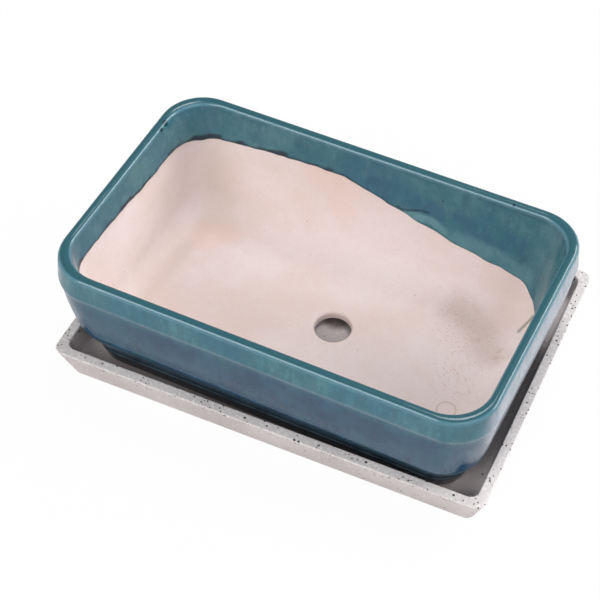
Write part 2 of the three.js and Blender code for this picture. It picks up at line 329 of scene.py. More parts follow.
def outside_profile():
    """The glazed outside of the pot, from low on the foot up and over the rim."""
    taper = (FOOT_BOTTOM_INSET - FOOT_TOP_INSET) / FOOT_HEIGHT
    start = Vector((FOOT_BOTTOM_INSET - taper * GLAZE_START, GLAZE_START))
    under_lip = Vector((FOOT_TOP_INSET, FOOT_HEIGHT - FOOT_LEDGE))
    lip = Vector((FOOT_TOP_INSET + FOOT_LEDGE, FOOT_HEIGHT))
    shoulder = Vector((SHOULDER_INSET, SHOULDER_HEIGHT))
    under_collar = Vector((COLLAR_STEP, COLLAR_EDGE - COLLAR_STEP))
    collar_edge = Vector((0, COLLAR_EDGE))
    rim_foot = Vector((RIM_SET_BACK, POT_HEIGHT - RIM_RADIUS))
    rim_centre = rim_foot + Vector((RIM_RADIUS, 0))
    bend = rounded_corner(lip, shoulder, under_collar, SHOULDER_ROUNDING, 6)
    return [
        start,
        start.lerp(under_lip, 0.1),
        start.lerp(under_lip, 0.5),
        *rounded_corner(start, under_lip, lip, STEP_ROUNDING, 2),
        *rounded_corner(under_lip, lip, shoulder, LEDGE_ROUNDING, 2),
        *[lip.lerp(bend[0], share) for share in (0.12, 0.4, 0.7)],
        *bend,
        *bellied(bend[-1], under_collar, WALL_BELLY, 5),
        *rounded_corner(bend[-1], under_collar, collar_edge, STEP_ROUNDING, 2),
        *rounded_corner(under_collar, collar_edge, rim_foot, COLLAR_ROUNDING, 4),
        *[collar_edge.lerp(rim_foot, share) for share in (0.25, 0.6)],
        *profile_arc(rim_centre, RIM_RADIUS, 0, 180, 12),
    ]


WALL_TOP = Vector((RIM_SET_BACK + 2 * RIM_RADIUS - GLAZE_PROUD, POT_HEIGHT - RIM_RADIUS))
WALL_FOOT = Vector((CAVITY_FOOT_INSET, FLOOR_TOP + CAVITY_FILLET))


def inside_inset(height):
    """How far in the bare clay inside lies at a height: a leaning wall, then a fillet."""
    if height >= WALL_FOOT.y:
        return WALL_TOP.lerp(WALL_FOOT, (WALL_TOP.y - height) / (WALL_TOP.y - WALL_FOOT.y)).x
    drop = WALL_FOOT.y - height
    return WALL_FOOT.x + CAVITY_FILLET - math.sqrt(CAVITY_FILLET ** 2 - drop ** 2)


# Outlines seen from above

class Outline:
    """A rounded rectangle, whose corners tighten as it is set in."""

    def __init__(self, length, width, corner, tightening=0):
        self.length = length
        self.width = width
        self.corner = corner
        self.tightening = tightening

    def arcs(self, inset):
        """How far out the centres of the corner arcs lie along X and Y, and their radius."""
        corner = self.corner - self.tightening * inset
        return self.length / 2 - inset - corner, self.width / 2 - inset - corner, corner

    def set_in(self, start, inset, height):
        """The place on the set-in outline that matches a place on the outline itself."""
        *old_reach, old_corner = self.arcs(0)
        *new_reach, new_corner = self.arcs(inset)
        place = Vector((0, 0, height))
        for axis in (0, 1):
            beyond = abs(start[axis]) - old_reach[axis]
            if beyond <= 0:
                place[axis] = start[axis] * new_reach[axis] / old_reach[axis]
            else:
                far = new_reach[axis] + beyond * new_corner / old_corner
                place[axis] = math.copysign(far, start[axis])
        return place

    def ring(self, inset, height):
        """A ring of a loft: a function from a place on the outline to its own place."""
        return lambda start: self.set_in(start, inset, height)

    def way_round(self, start, inset):
        """Share of the way round a set-in outline, from the right side's back end leftwards."""
        reach_x, reach_y, _ = self.arcs(0)
        new_x, new_y, corner = self.arcs(inset)
        arc = corner * math.pi / 2
        half = 2 * (arc + new_x + new_y)
        way_x = start.x / reach_x * new_x
        way_y = start.y / reach_y * new_y
        if abs(start.x) > reach_x and abs(start.y) > reach_y:
            turn = math.atan2(abs(start.y) - reach_y, abs(start.x) - reach_x) / (math.pi / 2)
            way = turn * arc if start.x * start.y > 0 else (2 - turn) * arc + 2 * new_x
        elif abs(start.y) > reach_y:
            way = arc + new_x - math.copysign(1, start.y) * way_x
        else:
            way = half - new_y + math.copysign(1, start.x) * way_y
        in_front = start.y < 0 if abs(start.y) > reach_y else start.x > 0
        return (way + (half if in_front else 0)) / (2 * half)


pot_outline = Outline(POT_LENGTH, POT_WIDTH, POT_CORNER, POT_TIGHTENING)


def pot_rings(points):
    """Rings of the pot at the points of a profile."""
    return [pot_outline.ring(inset, height) for inset, height in points]


def hole_ring(radius, height):
    """A ring of a loft, round the middle of the drain hole."""
    def place(start):
        towards = start.xy - DRAIN_PLACE.xy
        return (DRAIN_PLACE.xy + towards.normalized() * radius).to_3d() + Vector((0, 0, height))
    return place


def glaze_depth(share):
    """How deep under the rim the glaze stops inside, at a share of the way round."""
    knots = [(place + turn, depth) for turn in (-1, 0, 1) for place, depth in GLAZE_LINE]
    after = next(index for index, (place, _) in enumerate(knots) if place > share)
    (p0, d0), (p1, d1), (p2, d2), (p3, d3) = knots[after - 2:after + 2]
    span = p2 - p1
    t = (share - p1) / span
    slope_1 = (d2 - d0) / (p2 - p0) * span
    slope_2 = (d3 - d1) / (p3 - p1) * span
    smooth = (
        d1 * (2 * t ** 3 - 3 * t ** 2 + 1) + slope_1 * (t ** 3 - 2 * t ** 2 + t)
        + d2 * (3 * t ** 2 - 2 * t ** 3) + slope_2 * (t ** 3 - t ** 2)
    )
    angle = share * 2 * math.pi
    wander = Vector((math.cos(angle), math.sin(angle), 0))
    scallops = sum(size * noise.noise(wander * pace) for size, pace in SCALLOPS)
    return (smooth + scallops) * MM


def glaze_edge_height(start):
    """The height of the glaze's edge inside, at a place on the pot's outline."""
    return POT_HEIGHT - glaze_depth(pot_outline.way_round(start, WALL_TOP.x))


def glaze_line_ring(share, over, proud):
    """A ring of the glaze inside the pot, a share of the way down to the glaze's edge."""
    def place(start):
        height = WALL_TOP.y + (glaze_edge_height(start) - WALL_TOP.y) * share + over * MM
        return pot_outline.set_in(start, inside_inset(height) + proud * MM, height)
    return place


# Modelling

def select_only(piece):
    """Makes a piece the active object and the only selected one."""
    bpy.ops.object.select_all(action="DESELECT")
    bpy.context.view_layer.objects.active = piece
    piece.select_set(True)


def start_loft(name, outline, cuts):
    """Makes the outline as a ring of edges, in edit mode, with its sides cut into short ones."""
    bpy.ops.object.select_all(action="DESELECT")
    bpy.ops.mesh.primitive_plane_add(size=1)
    piece = bpy.context.object
    piece.name = name
    piece.data.name = name
    bpy.ops.object.mode_set(mode="EDIT")
    bpy.ops.transform.resize(value=(outline.length, outline.width, 1), center_override=(0, 0, 0))
    bpy.ops.mesh.bevel(offset=outline.corner, segments=CORNER_STEPS, affect="VERTICES")
    bpy.ops.mesh.delete(type="ONLY_FACE")
    bpy.ops.mesh.select_mode(type="EDGE")
    for side, number in enumerate(cuts):
        straight = 2 * outline.arcs(0)[side]
        bpy.ops.mesh.select_all(action="DESELECT")
        shape = bmesh.from_edit_mesh(piece.data)
        for edge in shape.edges:
            run = abs(edge.verts[0].co[side] - edge.verts[1].co[side])
            edge.select_set(abs(run - straight) < straight / 100)
        bmesh.update_edit_mesh(piece.data)
        bpy.ops.mesh.subdivide(number_cuts=number)
    shape = bmesh.from_edit_mesh(piece.data)
    layer = shape.verts.layers.float_vector.new("start")
    shape.verts.layers.int.new("ring")
    for vertex in shape.verts:
        vertex[layer] = vertex.co
    bpy.ops.mesh.select_all(action="SELECT")
    return piece


def place_ring(piece, ring, number):
    """Puts the selected ring where it belongs, and leaves its number on it."""
    shape = bmesh.from_edit_mesh(piece.data)
    start_layer = shape.verts.layers.float_vector["start"]
    ring_layer = shape.verts.layers.int["ring"]
    for vertex in shape.verts:
        if vertex.select:
            vertex.co = ring(vertex[start_layer])
            vertex[ring_layer] = number
    bmesh.update_edit_mesh(piece.data)


def select_rings(piece, numbers):
    """Selects the vertices of the rings with these numbers, and nothing else."""
    bpy.ops.mesh.select_all(action="DESELECT")
    bpy.ops.mesh.select_mode(type="VERT")
    shape = bmesh.from_edit_mesh(piece.data)
    layer = shape.verts.layers.int["ring"]
    for vertex in shape.verts:
        vertex.select_set(vertex[layer] in numbers)
    bmesh.update_edit_mesh(piece.data)


def loft(name, outline, cuts, rings, closed):
    """Extrudes the outline through rings. A closed loft comes back to its first ring."""
    piece = start_loft(name, outline, cuts)
    place_ring(piece, rings[0], 0)
    for number, ring in enumerate(rings[1:], start=1):
        bpy.ops.mesh.extrude_edges_indiv()
        place_ring(piece, ring, number)
    if closed:
        bpy.ops.mesh.extrude_edges_indiv()
        place_ring(piece, rings[0], len(rings))
        select_rings(piece, (0, len(rings)))
        bpy.ops.mesh.remove_doubles(threshold=WELD_DISTANCE)
    bpy.ops.mesh.select_all(action="SELECT")
    bpy.ops.mesh.normals_make_consistent(inside=False)
    bpy.ops.object.mode_set(mode="OBJECT")
    return piece


def fill_ends(piece):
    """Closes the two open ends of a loft with flat faces."""
    select_only(piece)
    bpy.ops.object.mode_set(mode="EDIT")
    bpy.ops.mesh.select_all(action="SELECT")
    bpy.ops.mesh.fill_holes(sides=0)
    bpy.ops.mesh.select_all(action="SELECT")
    bpy.ops.mesh.normals_make_consistent(inside=False)
    bpy.ops.object.mode_set(mode="OBJECT")


def apply_modifier(piece, kind, **settings):
    """Adds a modifier with these settings and applies it."""
    modifier = piece.modifiers.new(kind.title(), kind)
    for name, value in settings.items():
        setattr(modifier, name, value)
    select_only(piece)
    bpy.ops.object.modifier_apply(modifier=modifier.name)


def finish_mesh(piece, place):
    """Puts a finished mesh in its place, with its object at the origin, and smooths it."""
    piece.data.transform(place)
    select_only(piece)
    bpy.ops.object.shade_smooth_by_angle(angle=SMOOTH_ANGLE)


def mark_glaze_edge(piece, first, last):
    """Leaves on each vertex how far it lies above the glaze's edge inside, in mm."""
    starts = [Vector(item.vector) for item in piece.data.attributes["start"].data]
    numbers = [item.value for item in piece.data.attributes["ring"].data]
    above = piece.data.attributes.new("above_line", "FLOAT", "POINT")
    for index, vertex in enumerate(piece.data.vertices):
        value = FAR_ABOVE
        if first <= numbers[index] < last:
            value = (vertex.co.z - glaze_edge_height(starts[index])) / MM
        above.data[index].value = value


def make_glaze_coat():
    """The glaze: a thin closed skin whose edge inside wanders up and down the wall."""
    face = outside_profile()
    back = offset_profile(face, GLAZE_PROUD + GLAZE_SUNK)[::-2]
    inside = [glaze_line_ring(*values) for values in GLAZE_INSIDE]
    rings = pot_rings(face) + inside + pot_rings(back)
    piece = loft("teal_glaze", pot_outline, POT_CUTS, rings, closed=True)
    mark_glaze_edge(piece, len(face), len(face) + len(inside))
    apply_modifier(piece, "SUBSURF", levels=1, render_levels=1)
    finish_mesh(piece, POT_PLACE)
    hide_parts("glaze_coat")
    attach(piece, "pot")
    return piece


def foot_profile():
    """The hollow's side, and the foot ring with its eased edges."""
    foot_inset = FOOT_BOTTOM_INSET + GLAZE_PROUD
    ring_inset = foot_inset + FOOT_RING_WIDTH
    return [
        (ring_inset + FOOT_RECESS, FOOT_RECESS),
        (ring_inset + 0.5 * FOOT_RECESS, 0.5 * FOOT_RECESS),
        (ring_inset + 0.3 * MM, 0.1 * MM),
        (ring_inset - 0.5 * MM, 0),
        (foot_inset + 0.8 * MM, 0),
        (foot_inset + 0.1 * MM, 0.2 * MM),
        (foot_inset - 0.2 * MM, 0.9 * MM),
    ]


def drain_rings():
    """The drain hole's rings, from the floor over the flare and down into the hollow."""
    rings = [hole_ring(radius * MM, FLOOR_TOP) for radius in HOLE_RINGS]
    for drop, height in profile_arc(Vector((0, 0)), DRAIN_FLARE, -90, 0, 6):
        rings.append(hole_ring(DRAIN_RADIUS + DRAIN_FLARE + drop, FLOOR_TOP - DRAIN_FLARE - height))
    rings += [hole_ring(DRAIN_RADIUS, height * MM) for height in BORE_RINGS]
    rings.append(hole_ring(DRAIN_RADIUS + BORE_EASING, FOOT_RECESS))
    rings.append(hole_ring(HOLLOW_HOLE_RING * MM, FOOT_RECESS))
    return rings


def cut_notches(piece):
    """Cuts the drainage notches through the middle of the foot's long sides."""
    bpy.ops.mesh.primitive_cube_add(size=1)
    cutter = bpy.context.object
    cutter.scale = (NOTCH_WIDTH, POT_WIDTH, 2 * NOTCH_HEIGHT)
    bpy.ops.object.transform_apply(scale=True)
    apply_modifier(piece, "BOOLEAN", operation="DIFFERENCE", object=cutter, solver="EXACT")
    bpy.data.objects.remove(cutter)


def make_clay_pot():
    """The fired clay body: one closed skin through the wall, the floor and the drain hole."""
    outside = offset_profile(outside_profile(), GLAZE_PROUD)[1:]
    wall = [WALL_TOP.lerp(WALL_FOOT, share) for share in (0.12, 0.25, 0.4, 0.55, 0.7, 0.85)]
    fillet = profile_arc(WALL_FOOT + Vector((CAVITY_FILLET, 0)), CAVITY_FILLET, 0, -90, 10)
    floor = [(inset * MM, FLOOR_TOP) for inset in FLOOR_RINGS]
    hollow = [(inset * MM, FOOT_RECESS) for inset in HOLLOW_RINGS]
    rings = pot_rings([*foot_profile(), *outside, *wall, *fillet, *floor])
    rings += drain_rings() + pot_rings(hollow)
    piece = loft("bisque_pot", pot_outline, POT_CUTS, rings, closed=True)
    apply_modifier(piece, "SUBSURF", levels=1, render_levels=1)
    cut_notches(piece)
    finish_mesh(piece, POT_PLACE)
    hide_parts("clay_pot")
    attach(piece, "pot")
    return piece


def tray_profile(width):
    """The tray from the middle of its underside, over the wall, to the middle of its floor."""
    outside_foot = Vector((TRAY_OUTSIDE_DRAFT, 0))
    outside_top = Vector((0, TRAY_HEIGHT))
    inside_top = Vector((TRAY_RIM_FACE, TRAY_HEIGHT))
    inside_foot = Vector((TRAY_RIM_FACE + TRAY_INSIDE_DRAFT, TRAY_FLOOR))
    middle_low = Vector((width / 2, 0))
    middle_high = Vector((width / 2, TRAY_FLOOR))
    return [
        *[Vector((inset * MM, 0)) for inset in TRAY_UNDERSIDE_RINGS],
        *rounded_corner(middle_low, outside_foot, outside_top, TRAY_ARRIS, 3),
        *[outside_foot.lerp(outside_top, share) for share in (0.15, 0.4, 0.6, 0.8, 0.92)],
        *rounded_corner(outside_foot, outside_top, inside_top, TRAY_ARRIS, 4),
        *[outside_top.lerp(inside_top, share) for share in (0.3, 0.5, 0.7)],
        *rounded_corner(outside_top, inside_top, inside_foot, TRAY_ARRIS, 4),
        *[inside_top.lerp(inside_foot, share) for share in (0.2, 0.45, 0.7)],
        *rounded_corner(inside_top, inside_foot, middle_high, TRAY_INSIDE_FILLET, 5),
        *[Vector((inset * MM, TRAY_FLOOR)) for inset in TRAY_FLOOR_RINGS],
    ]


def make_tray():
    """The cast tray, with leaning walls and a flat rim face."""
    length = tray_high.x - tray_low.x
    width = tray_high.y - tray_low.y
    middle = (tray_low + tray_high) / 2
    outline = Outline(length, width, TRAY_CORNER)
    rings = [outline.ring(inset, height) for inset, height in tray_profile(width)]
    piece = loft("speckled_tray", outline, TRAY_CUTS, rings, closed=False)
    apply_modifier(piece, "SUBSURF", levels=1, render_levels=1)
    fill_ends(piece)
    finish_mesh(piece, Matrix.Translation((middle.x, middle.y, 0)))
    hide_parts("drip_tray")
    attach(piece, "tray")
    return piece


# Materials

class Number:
    """A number that varies over a surface. An expression on it adds Math nodes."""

    def __init__(self, finish, socket):
        self.finish = finish
        self.socket = socket

    def math(self, operation, first, second, **settings):
        """What a Math node makes of two values."""
        inputs = {0: first, 1: second}
        made = self.finish.node("ShaderNodeMath", dict(operation=operation, **settings), inputs)
        return Number(self.finish, made.outputs[0])

    def __add__(self, other):
        return self.math("ADD", self, other)

    def __radd__(self, other):
        return self.math("ADD", other, self)

    def __sub__(self, other):
        return self.math("SUBTRACT", self, other)

    def __rsub__(self, other):
        return self.math("SUBTRACT", other, self)

    def __mul__(self, other):
        return self.math("MULTIPLY", self, other)

    def __rmul__(self, other):
        return self.math("MULTIPLY", other, self)

    def __truediv__(self, other):
        return self.math("DIVIDE", self, other)

    def __rtruediv__(self, other):
        return self.math("DIVIDE", other, self)

    def clamped(self):
        """The number kept between 0 and 1."""
        return self.math("ADD", self, 0, use_clamp=True)


class Nodes:
    """A node tree and the way to add nodes to it."""

    def __init__(self, tree):
        self.tree = tree

    def node(self, kind, settings, inputs):
        """Adds a node: its settings are set first, and then its sockets' values or links."""
        made = self.tree.nodes.new(kind)
        for name, value in settings.items():
            setattr(made, name, value)
        for name, value in inputs.items():
            self.join(value, made.inputs[name])
        return made

    def join(self, value, socket):
        """Links a socket, or sets it to a value."""
        if isinstance(value, Number):
            value = value.socket
        if isinstance(value, bpy.types.NodeSocket):
            self.tree.links.new(value, socket)
        elif isinstance(value, tuple) and len(value) == 3 and socket.type == "RGBA":
            socket.default_value = (*value, 1)
        else:
            socket.default_value = value

    def band(self, value, low, high):
        """0 below the low value and 1 above the high one, smooth between."""
        made = self.node(
            "ShaderNodeMapRange", {"interpolation_type": "SMOOTHSTEP"},
            {"Value": value, "From Min": low, "From Max": high},
        )
        return Number(self, made.outputs[0])

    def camera_ray(self):
        """1 for what the camera sees straight, and 0 for the light that falls on things."""
        made = self.node("ShaderNodeLightPath", {}, {})
        return Number(self, made.outputs["Is Camera Ray"])

    def show(self, share, first, second, output):
        """Sends one shader to the tree's output, turned into a second one by a share."""
        made = self.node("ShaderNodeMixShader", {}, {0: share, 1: first, 2: second})
        self.join(made.outputs[0], self.tree.nodes[output].inputs["Surface"])


class Finish(Nodes):
    """A material and the patterns that it is made of."""

    def __init__(self, name):
        self.material = bpy.data.materials.new(name)
        self.material.use_nodes = True
        super().__init__(self.material.node_tree)
        self.shader = self.tree.nodes["Principled BSDF"]
        self.place = self.node("ShaderNodeTexCoord", {}, {}).outputs["Object"]

    def stripe(self, value, low, rise, fall, high):
        """1 between the rise and the fall, and 0 below the low and above the high value."""
        return self.band(value, low, rise) - self.band(value, fall, high)

    def noise(self, size, detail=3, stretch=(1, 1, 1), shift=(0, 0, 0), roughness=0.5):
        """Noise from 0 to 1 whose blotches are about size across, in metres."""
        moved = self.node(
            "ShaderNodeMapping", {"vector_type": "POINT"},
            {"Vector": self.place, "Scale": stretch, "Location": shift},
        )
        made = self.node(
            "ShaderNodeTexNoise", {"noise_dimensions": "3D"},
            {"Vector": moved.outputs[0], "Scale": 0.5 / size, "Detail": detail, "Roughness": roughness},
        )
        return Number(self, made.outputs[0])

    def cells(self, size, output):
        """Random cells about size across: how far their middles are, in cells, or a colour each."""
        made = self.node(
            "ShaderNodeTexVoronoi", {"feature": "F1"}, {"Vector": self.place, "Scale": 1 / size},
        )
        return Number(self, made.outputs[output])

    def specks(self, size, radius, rarity):
        """Round specks in random cells. Rarity is the share of the cells that have none."""
        chances = self.node("ShaderNodeSeparateColor", {}, {"Color": self.cells(size, "Color")})
        wanted = self.band(Number(self, chances.outputs[0]) - rarity, 0, 0.01)
        reach = Number(self, chances.outputs[1]) * 0.6 + 0.4
        spread = self.cells(size, "Distance") / (reach * radius)
        return wanted * (1 - self.band(spread, 0.6, 1.0))

    def attribute(self, name):
        """A number that the mesh carries."""
        made = self.node("ShaderNodeAttribute", {"attribute_name": name}, {})
        return Number(self, made.outputs["Fac"])

    def axis(self, name):
        """How far along X, Y or Z of the frame a place lies."""
        made = self.node("ShaderNodeSeparateXYZ", {}, {"Vector": self.place})
        return Number(self, made.outputs[name])

    def vector(self, operation, output, *inputs):
        """What a vector operation gives."""
        made = self.node("ShaderNodeVectorMath", {"operation": operation}, dict(enumerate(inputs)))
        return made.outputs[output]

    def near(self, point, radius, soft):
        """1 within a radius of a point, falling to 0 over a soft distance."""
        gap = Number(self, self.vector("DISTANCE", "Value", self.place, point))
        return 1 - self.band(gap, radius, radius + soft)

    def near_stretch(self, start, end, radius, soft):
        """1 within a radius of a straight stretch, falling to 0 over a soft distance."""
        along = end - start
        offset = self.vector("SUBTRACT", "Vector", self.place, tuple(start))
        across = tuple(along / along.length_squared)
        share = Number(self, self.vector("DOT_PRODUCT", "Value", offset, across)).clamped()
        nearest = self.node(
            "ShaderNodeVectorMath", {"operation": "SCALE"}, {0: tuple(along), "Scale": share},
        )
        gap = Number(self, self.vector("DISTANCE", "Value", offset, nearest.outputs[0]))
        return 1 - self.band(gap, radius, radius + soft)

    def largest(self, numbers):
        """The largest of some numbers, place by place."""
        found, *others = numbers
        for number in others:
            found = found.math("MAXIMUM", found, number)
        return found

    def line(self, points, radius, soft):
        """1 near a line through these places on the pot, falling to 0."""
        places = [Vector(on_pot(*point)) for point in points]
        return self.largest([
            self.near_stretch(start, end, radius, soft) for start, end in zip(places, places[1:])
        ])

    def marks(self, places, soft):
        """1 near any of these places on the pot, each within its own radius."""
        return self.largest([
            self.near(on_pot(*point), radius * MM, soft) for *point, radius in places
        ])

    def mix(self, first, second, share):
        """One colour turned into another by a share."""
        made = self.node(
            "ShaderNodeMix", {"data_type": "RGBA"}, {"Factor": share, "A": first, "B": second},
        )
        return made.outputs["Result"]

    def layered(self, colour, *layers):
        """Lays tints over a colour one after another, each by its own share."""
        for tint, share in layers:
            colour = self.mix(colour, tint, share)
        return colour

    def bump(self, height, distance):
        """Raises the surface's shading by a height, where 1 is as much as the distance."""
        made = self.node("ShaderNodeBump", {}, {"Height": height, "Distance": distance})
        self.join(made.outputs[0], self.shader.inputs["Normal"])

    def coat(self, piece, **sockets):
        """Gives the shader's sockets their values and puts the material on a piece."""
        for name, value in sockets.items():
            self.join(value, self.shader.inputs[name.replace("_", " ")])
        piece.data.materials.clear()
        piece.data.materials.append(self.material)


def on_pot(x, y, height):
    """A place in the frame, from millimetres over the middle of the pot's foot."""
    return tuple(POT_PLACE @ (Vector((x, y, height)) * MM))


class GlazeFinish(Finish):
    """The glaze's material, with the patterns that its colours share."""

    def __init__(self):
        super().__init__("teal_glaze")
        self.above = self.attribute("above_line")
        self.high = self.axis("Z") - POT_PLACE.translation.z
        self.outside = self.band(self.above, FAR_ABOVE - 8, FAR_ABOVE - 1)
        self.clouds = self.noise(9 * MM, detail=5, roughness=0.6)
        self.wide_clouds = self.noise(28 * MM, detail=3, shift=(3, 1, 2))
        self.runs = self.noise(4.0 * MM, detail=4, stretch=(1, 1, 0.3), roughness=0.6)
        self.streaks = self.noise(
            2.2 * MM, detail=6, stretch=(1, 1, 0.25), shift=(5, 2, 8), roughness=0.65,
        )
        # A band for the painted highlight over the rim's edges.
        self.painted_rim_highlight = self.band(self.high, POT_HEIGHT - 3.4 * MM, POT_HEIGHT - 1.4 * MM)

    def teal(self):
        """The mottled colour inside, on the rim and on the collar, which is a little darker.

        It has a painted highlight over the rim's edges, where the glaze also thins paler, and
        painted shade on the rim's top, where it reflects the dark ceiling.
        """
        freckles = self.noise(1.3 * MM, detail=5, shift=(7, 7, 2), roughness=0.7)
        # Painted shade on the rim's top.
        painted_rim_shade = self.band(self.high, POT_HEIGHT - 1.1 * MM, POT_HEIGHT - 0.3 * MM)
        return self.layered(
            self.mix(TEAL, LIGHT_TEAL, self.band(self.clouds, 0.38, 0.62)),
            (BLUE_TEAL, self.band(self.wide_clouds, 0.45, 0.62) * 0.6),
            (DEEP_TEAL, self.band(self.runs, 0.50, 0.70) * 0.5),
            (PALE_TEAL, self.band(self.streaks, 0.52, 0.68) * 0.4),
            (DARK_TEAL, self.outside * self.band(self.streaks, 0.40, 0.56) * 0.42),
            (FRECKLE, self.band(freckles, 0.52, 0.66) * 0.30),
            # Painted highlight on the rim's edges, then painted shade on its top.
            (RIM_HIGHLIGHT, self.painted_rim_highlight * 0.55),
            (RIM_TOP_SHADE, painted_rim_shade * 0.85),
        )

    def body(self):
        """The bluer colour under the collar, with painted shade low down that is darkest on the foot."""
        colour = self.layered(
            self.mix(BODY_NAVY, BODY_BLUE, self.band(self.clouds, 0.35, 0.65)),
            (BODY_GREEN, self.band(self.runs * self.wide_clouds, 0.22, 0.34) * 0.7),
            (BODY_INK, self.band(self.streaks, 0.50, 0.66) * 0.55),
        )
        # Painted shade low down, darkest on the foot.
        clear_of_low_shade = self.band(self.high + self.clouds * 6 * MM, 18 * MM, 32 * MM)
        clear_of_foot_shade = self.band(self.high, 10 * MM, 18 * MM)
        return self.mix(FOOT_SHADE, self.mix(BODY_LOW_SHADE, colour, clear_of_low_shade), clear_of_foot_shade)

    def under_collar(self):
        """1 outside under the collar, with a wandering border."""
        wandering = self.high + (self.wide_clouds - 0.5) * 9 * MM
        return self.outside * (1 - self.band(wandering, COLLAR_EDGE - 6 * MM, COLLAR_EDGE + 4 * MM))

    def collar_ridge_highlight(self):
        """1 on the painted highlight along the collar's lower edge, where the glaze also thins."""
        ridge = self.stripe(
            self.high, COLLAR_EDGE - 1.6 * MM, COLLAR_EDGE + 0.2 * MM,
            COLLAR_EDGE + 0.4 * MM, COLLAR_EDGE + 2.6 * MM,
        )
        return ridge * self.outside * self.band(self.clouds, 0.25, 0.5)

    def painted_ledge_highlight(self):
        """1 on the painted highlight along the ledge on the foot."""
        ridge = self.stripe(
            self.high, FOOT_HEIGHT - 1.2 * MM, FOOT_HEIGHT - 0.6 * MM,
            FOOT_HEIGHT - 0.4 * MM, FOOT_HEIGHT + 0.2 * MM,
        )
        return ridge * self.band(self.clouds, 0.35, 0.6)

    def right_wall_reflection(self):
        """How strongly a painted reflection of the bright floor shows on the outside of the right wall, in
        faint upright streaks.
        """
        right_wall = self.band(self.axis("X"), 114 * MM, 119 * MM) * self.outside
        right_wall_reflection = right_wall * (1 - self.painted_rim_highlight) * self.band(self.high, 30 * MM, 55 * MM)
        return right_wall_reflection * (0.34 + self.band(self.runs, 0.4, 0.6) * 0.22)

    def pooled(self):
        """1 where the glaze pools at its edge inside, which is widest to the left."""
        leftward = 1 - self.band(self.axis("X"), -20 * MM, 30 * MM)
        uneven = self.band(self.noise(7 * MM, detail=4, shift=(1, 6, 2)), 0.42, 0.62)
        reach = 0.4 + leftward * (0.6 + uneven * 2.2)
        return 1 - self.band(self.above - reach, -0.6, 1.6)


def glaze_finish(piece):
    """Glossy blue-green glass over clay, darker where it is thick, paler where it thins."""
    finish = GlazeFinish()
    blue = finish.line(GLAZE_BLUE, 4 * MM, 5 * MM)
    fold = finish.line(GLAZE_FOLD, 0.1 * MM, 1.1 * MM)
    thin = finish.line(GLAZE_THIN, 1.2 * MM, 3 * MM) + finish.line(GLAZE_PALE, 2 * MM, 6 * MM) * 0.45
    scars = finish.line(GLAZE_SCAR, 0.2 * MM, 1.3 * MM)
    pale = (thin * finish.band(finish.clouds, 0.3, 0.6) + scars * 0.5).clamped()
    flecks = finish.specks(4 * MM, 0.15, 0.80) * (1 - finish.outside)
    pits = (finish.specks(11 * MM, 0.05, 0.6) + finish.marks(GLAZE_PITS, 0.5 * MM)).clamped()
    colour = finish.layered(
        finish.mix(finish.teal(), finish.body(), finish.under_collar()),
        # Painted highlight on the collar's lower edge.
        (COLLAR_HIGHLIGHT, finish.collar_ridge_highlight() * 0.55),
        # Painted highlight on the foot's ledge.
        (LEDGE_HIGHLIGHT, finish.painted_ledge_highlight() * 0.5),
        # Painted reflection on the right wall.
        (PAINTED_REFLECTION, finish.right_wall_reflection()),
        (POOLED, finish.pooled() * 0.92),
        (BRIGHT_BLUE, blue * finish.band(finish.streaks + finish.clouds, 0.85, 1.1) * 0.6),
        (THIN_GLAZE, pale * 0.8),
        (PALE_FLECK, flecks * 0.6),
        (DARK_PIT, (fold * 0.7 + pits * 0.85).clamped()),
    )
    waves = finish.noise(22 * MM, detail=1) * 1.6 + finish.noise(6 * MM, detail=2) * 0.35
    finish.bump(waves + scars * 0.4 - pits * 0.15 - fold * 0.3 + flecks * 0.08, 0.45 * MM)
    finish.coat(
        piece, Base_Color=colour, Roughness=0.13 + finish.noise(14 * MM) * 0.12,
        Specular_IOR_Level=0.42, Coat_Weight=0.1, Coat_Roughness=0.08,
    )


